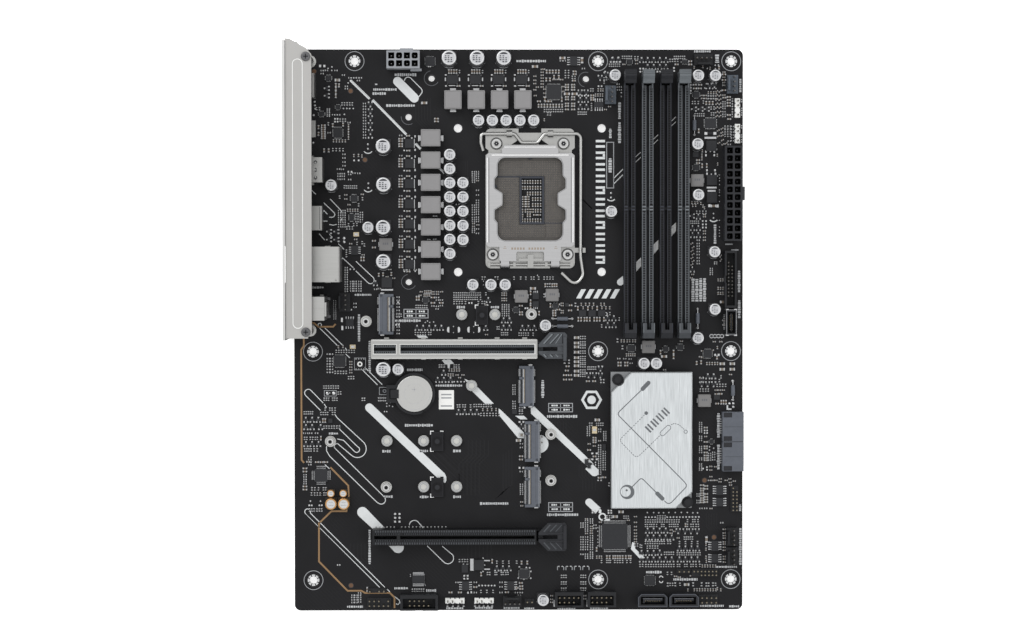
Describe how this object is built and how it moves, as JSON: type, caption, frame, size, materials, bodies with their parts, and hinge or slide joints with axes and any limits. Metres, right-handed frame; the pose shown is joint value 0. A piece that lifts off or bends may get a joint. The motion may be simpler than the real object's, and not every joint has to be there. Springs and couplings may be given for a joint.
{
  "type": "motherboard",
  "caption": "Full-size desktop computer motherboard with processor socket, memory and expansion slots, bare power-stage area, chipset heatsink and rear connector block.",
  "frame": {"origin": "centre of the datum mounting hole (front-left of the standard pattern) in the board's underside", "axes": "+Z out of the component side, +Y from the header edge towards the processor power socket, +X away from the rear connectors"},
  "size_m": [0.2476, 0.3077, 0.0454],
  "materials": {
    "board_laminate": "satin solder mask over glass laminate",
    "black_plastic": "moulded",
    "grey_plastic": "moulded",
    "dark_grey_plastic": "moulded",
    "white_plastic": "moulded",
    "natural_plastic": "moulded",
    "steel": "brushed",
    "nickel": "plated",
    "brass_gold": "gold plated",
    "heatsink_aluminium": "brushed",
    "can_aluminium": "satin",
    "gold_can": "satin anodised",
    "cover_paint": "satin silver paint",
    "shield_steel": "satin silver paint",
    "ferrite": "pressed powder",
    "thermal_pad": "matt"
  },
  "bodies": {
    "board": {"pcb": "board_laminate", "socket_body": "dark_grey_plastic", "socket_contacts": "brass_gold", "socket_frame": "steel", "socket_screws": "nickel", "socket_backplate": "steel", "pcie_slot_1": "black_plastic", "pcie_slot_2": "black_plastic", "pcie_shield": "steel", "m2_socket_1": "black_plastic", "m2_socket_2": "black_plastic", "m2_socket_3": "black_plastic", "m2_socket_wireless": "black_plastic", "m2_standoffs": "nickel", "m2_stops": "natural_plastic", "m2_pads": "thermal_pad", "battery_holder": "black_plastic", "battery": "steel", "battery_clip": "nickel", "chipset": "dark_grey_plastic", "chipset_heatsink": "heatsink_aluminium", "heatsink_pins": "black_plastic", "usb_ports": "steel", "display_ports": "steel", "network_port": "steel", "audio_jacks": "steel", "io_shield": "shield_steel", "io_cover": "cover_paint", "io_posts": "nickel", "io_screws": "nickel", "atx_power_socket": "black_plastic", "cpu_power_socket": "grey_plastic", "usb3_header": "black_plastic", "usb_c_header": "steel", "sata_edge_ports": "grey_plastic", "sata_top_ports": "dark_grey_plastic", "box_headers": "black_plastic", "fan_headers": "black_plastic", "rgb_headers": "white_plastic", "header_pins": "brass_gold", "capacitors_large": "can_aluminium", "capacitors_small": "can_aluminium", "audio_capacitors": "gold_can", "chokes": "ferrite", "power_stages": "dark_grey_plastic", "chips": "black_plastic", "dimm_slot_1": "dark_grey_plastic", "dimm_slot_2": "grey_plastic", "dimm_slot_3": "dark_grey_plastic", "dimm_slot_4": "grey_plastic"},
    "load_plate": {"load_plate": "nickel"},
    "load_lever": {"load_lever": "nickel"},
    "dimm_latch_1": {"dimm_latch_1": "dark_grey_plastic"},
    "dimm_latch_2": {"dimm_latch_2": "grey_plastic"},
    "dimm_latch_3": {"dimm_latch_3": "dark_grey_plastic"},
    "dimm_latch_4": {"dimm_latch_4": "grey_plastic"},
    "pcie_latch_1": {"pcie_latch_1": "grey_plastic"},
    "pcie_latch_2": {"pcie_latch_2": "black_plastic"}
  },
  "joints": [
    {"name": "load_lever_hinge", "type": "hinge", "parent": "board", "child": "load_lever", "pos_m": [0.118, 0.2425, 0.0046], "axis": [-1, 0, 0], "range_deg": [0, 115]},
    {"name": "load_plate_hinge", "type": "hinge", "parent": "board", "child": "load_plate", "pos_m": [0.118, 0.1717, 0.0042], "axis": [1, 0, 0], "range_deg": [0, 110]},
    {"name": "dimm_latch_1_hinge", "type": "hinge", "parent": "board", "child": "dimm_latch_1", "pos_m": [0.1717, 0.2723, 0.005], "axis": [-1, 0, 0], "range_deg": [0, 28]},
    {"name": "dimm_latch_2_hinge", "type": "hinge", "parent": "board", "child": "dimm_latch_2", "pos_m": [0.18144, 0.2723, 0.005], "axis": [-1, 0, 0], "range_deg": [0, 28]},
    {"name": "dimm_latch_3_hinge", "type": "hinge", "parent": "board", "child": "dimm_latch_3", "pos_m": [0.19118, 0.2723, 0.005], "axis": [-1, 0, 0], "range_deg": [0, 28]},
    {"name": "dimm_latch_4_hinge", "type": "hinge", "parent": "board", "child": "dimm_latch_4", "pos_m": [0.20092, 0.2723, 0.005], "axis": [-1, 0, 0], "range_deg": [0, 28]},
    {"name": "pcie_latch_1_hinge", "type": "hinge", "parent": "board", "child": "pcie_latch_1", "pos_m": [0.1228, 0.1261, 0.0037], "axis": [0, 1, 0], "range_deg": [0, 20]},
    {"name": "pcie_latch_2_hinge", "type": "hinge", "parent": "board", "child": "pcie_latch_2", "pos_m": [0.1228, 0.0243, 0.0037], "axis": [0, 1, 0], "range_deg": [0, 20]}
  ]
}
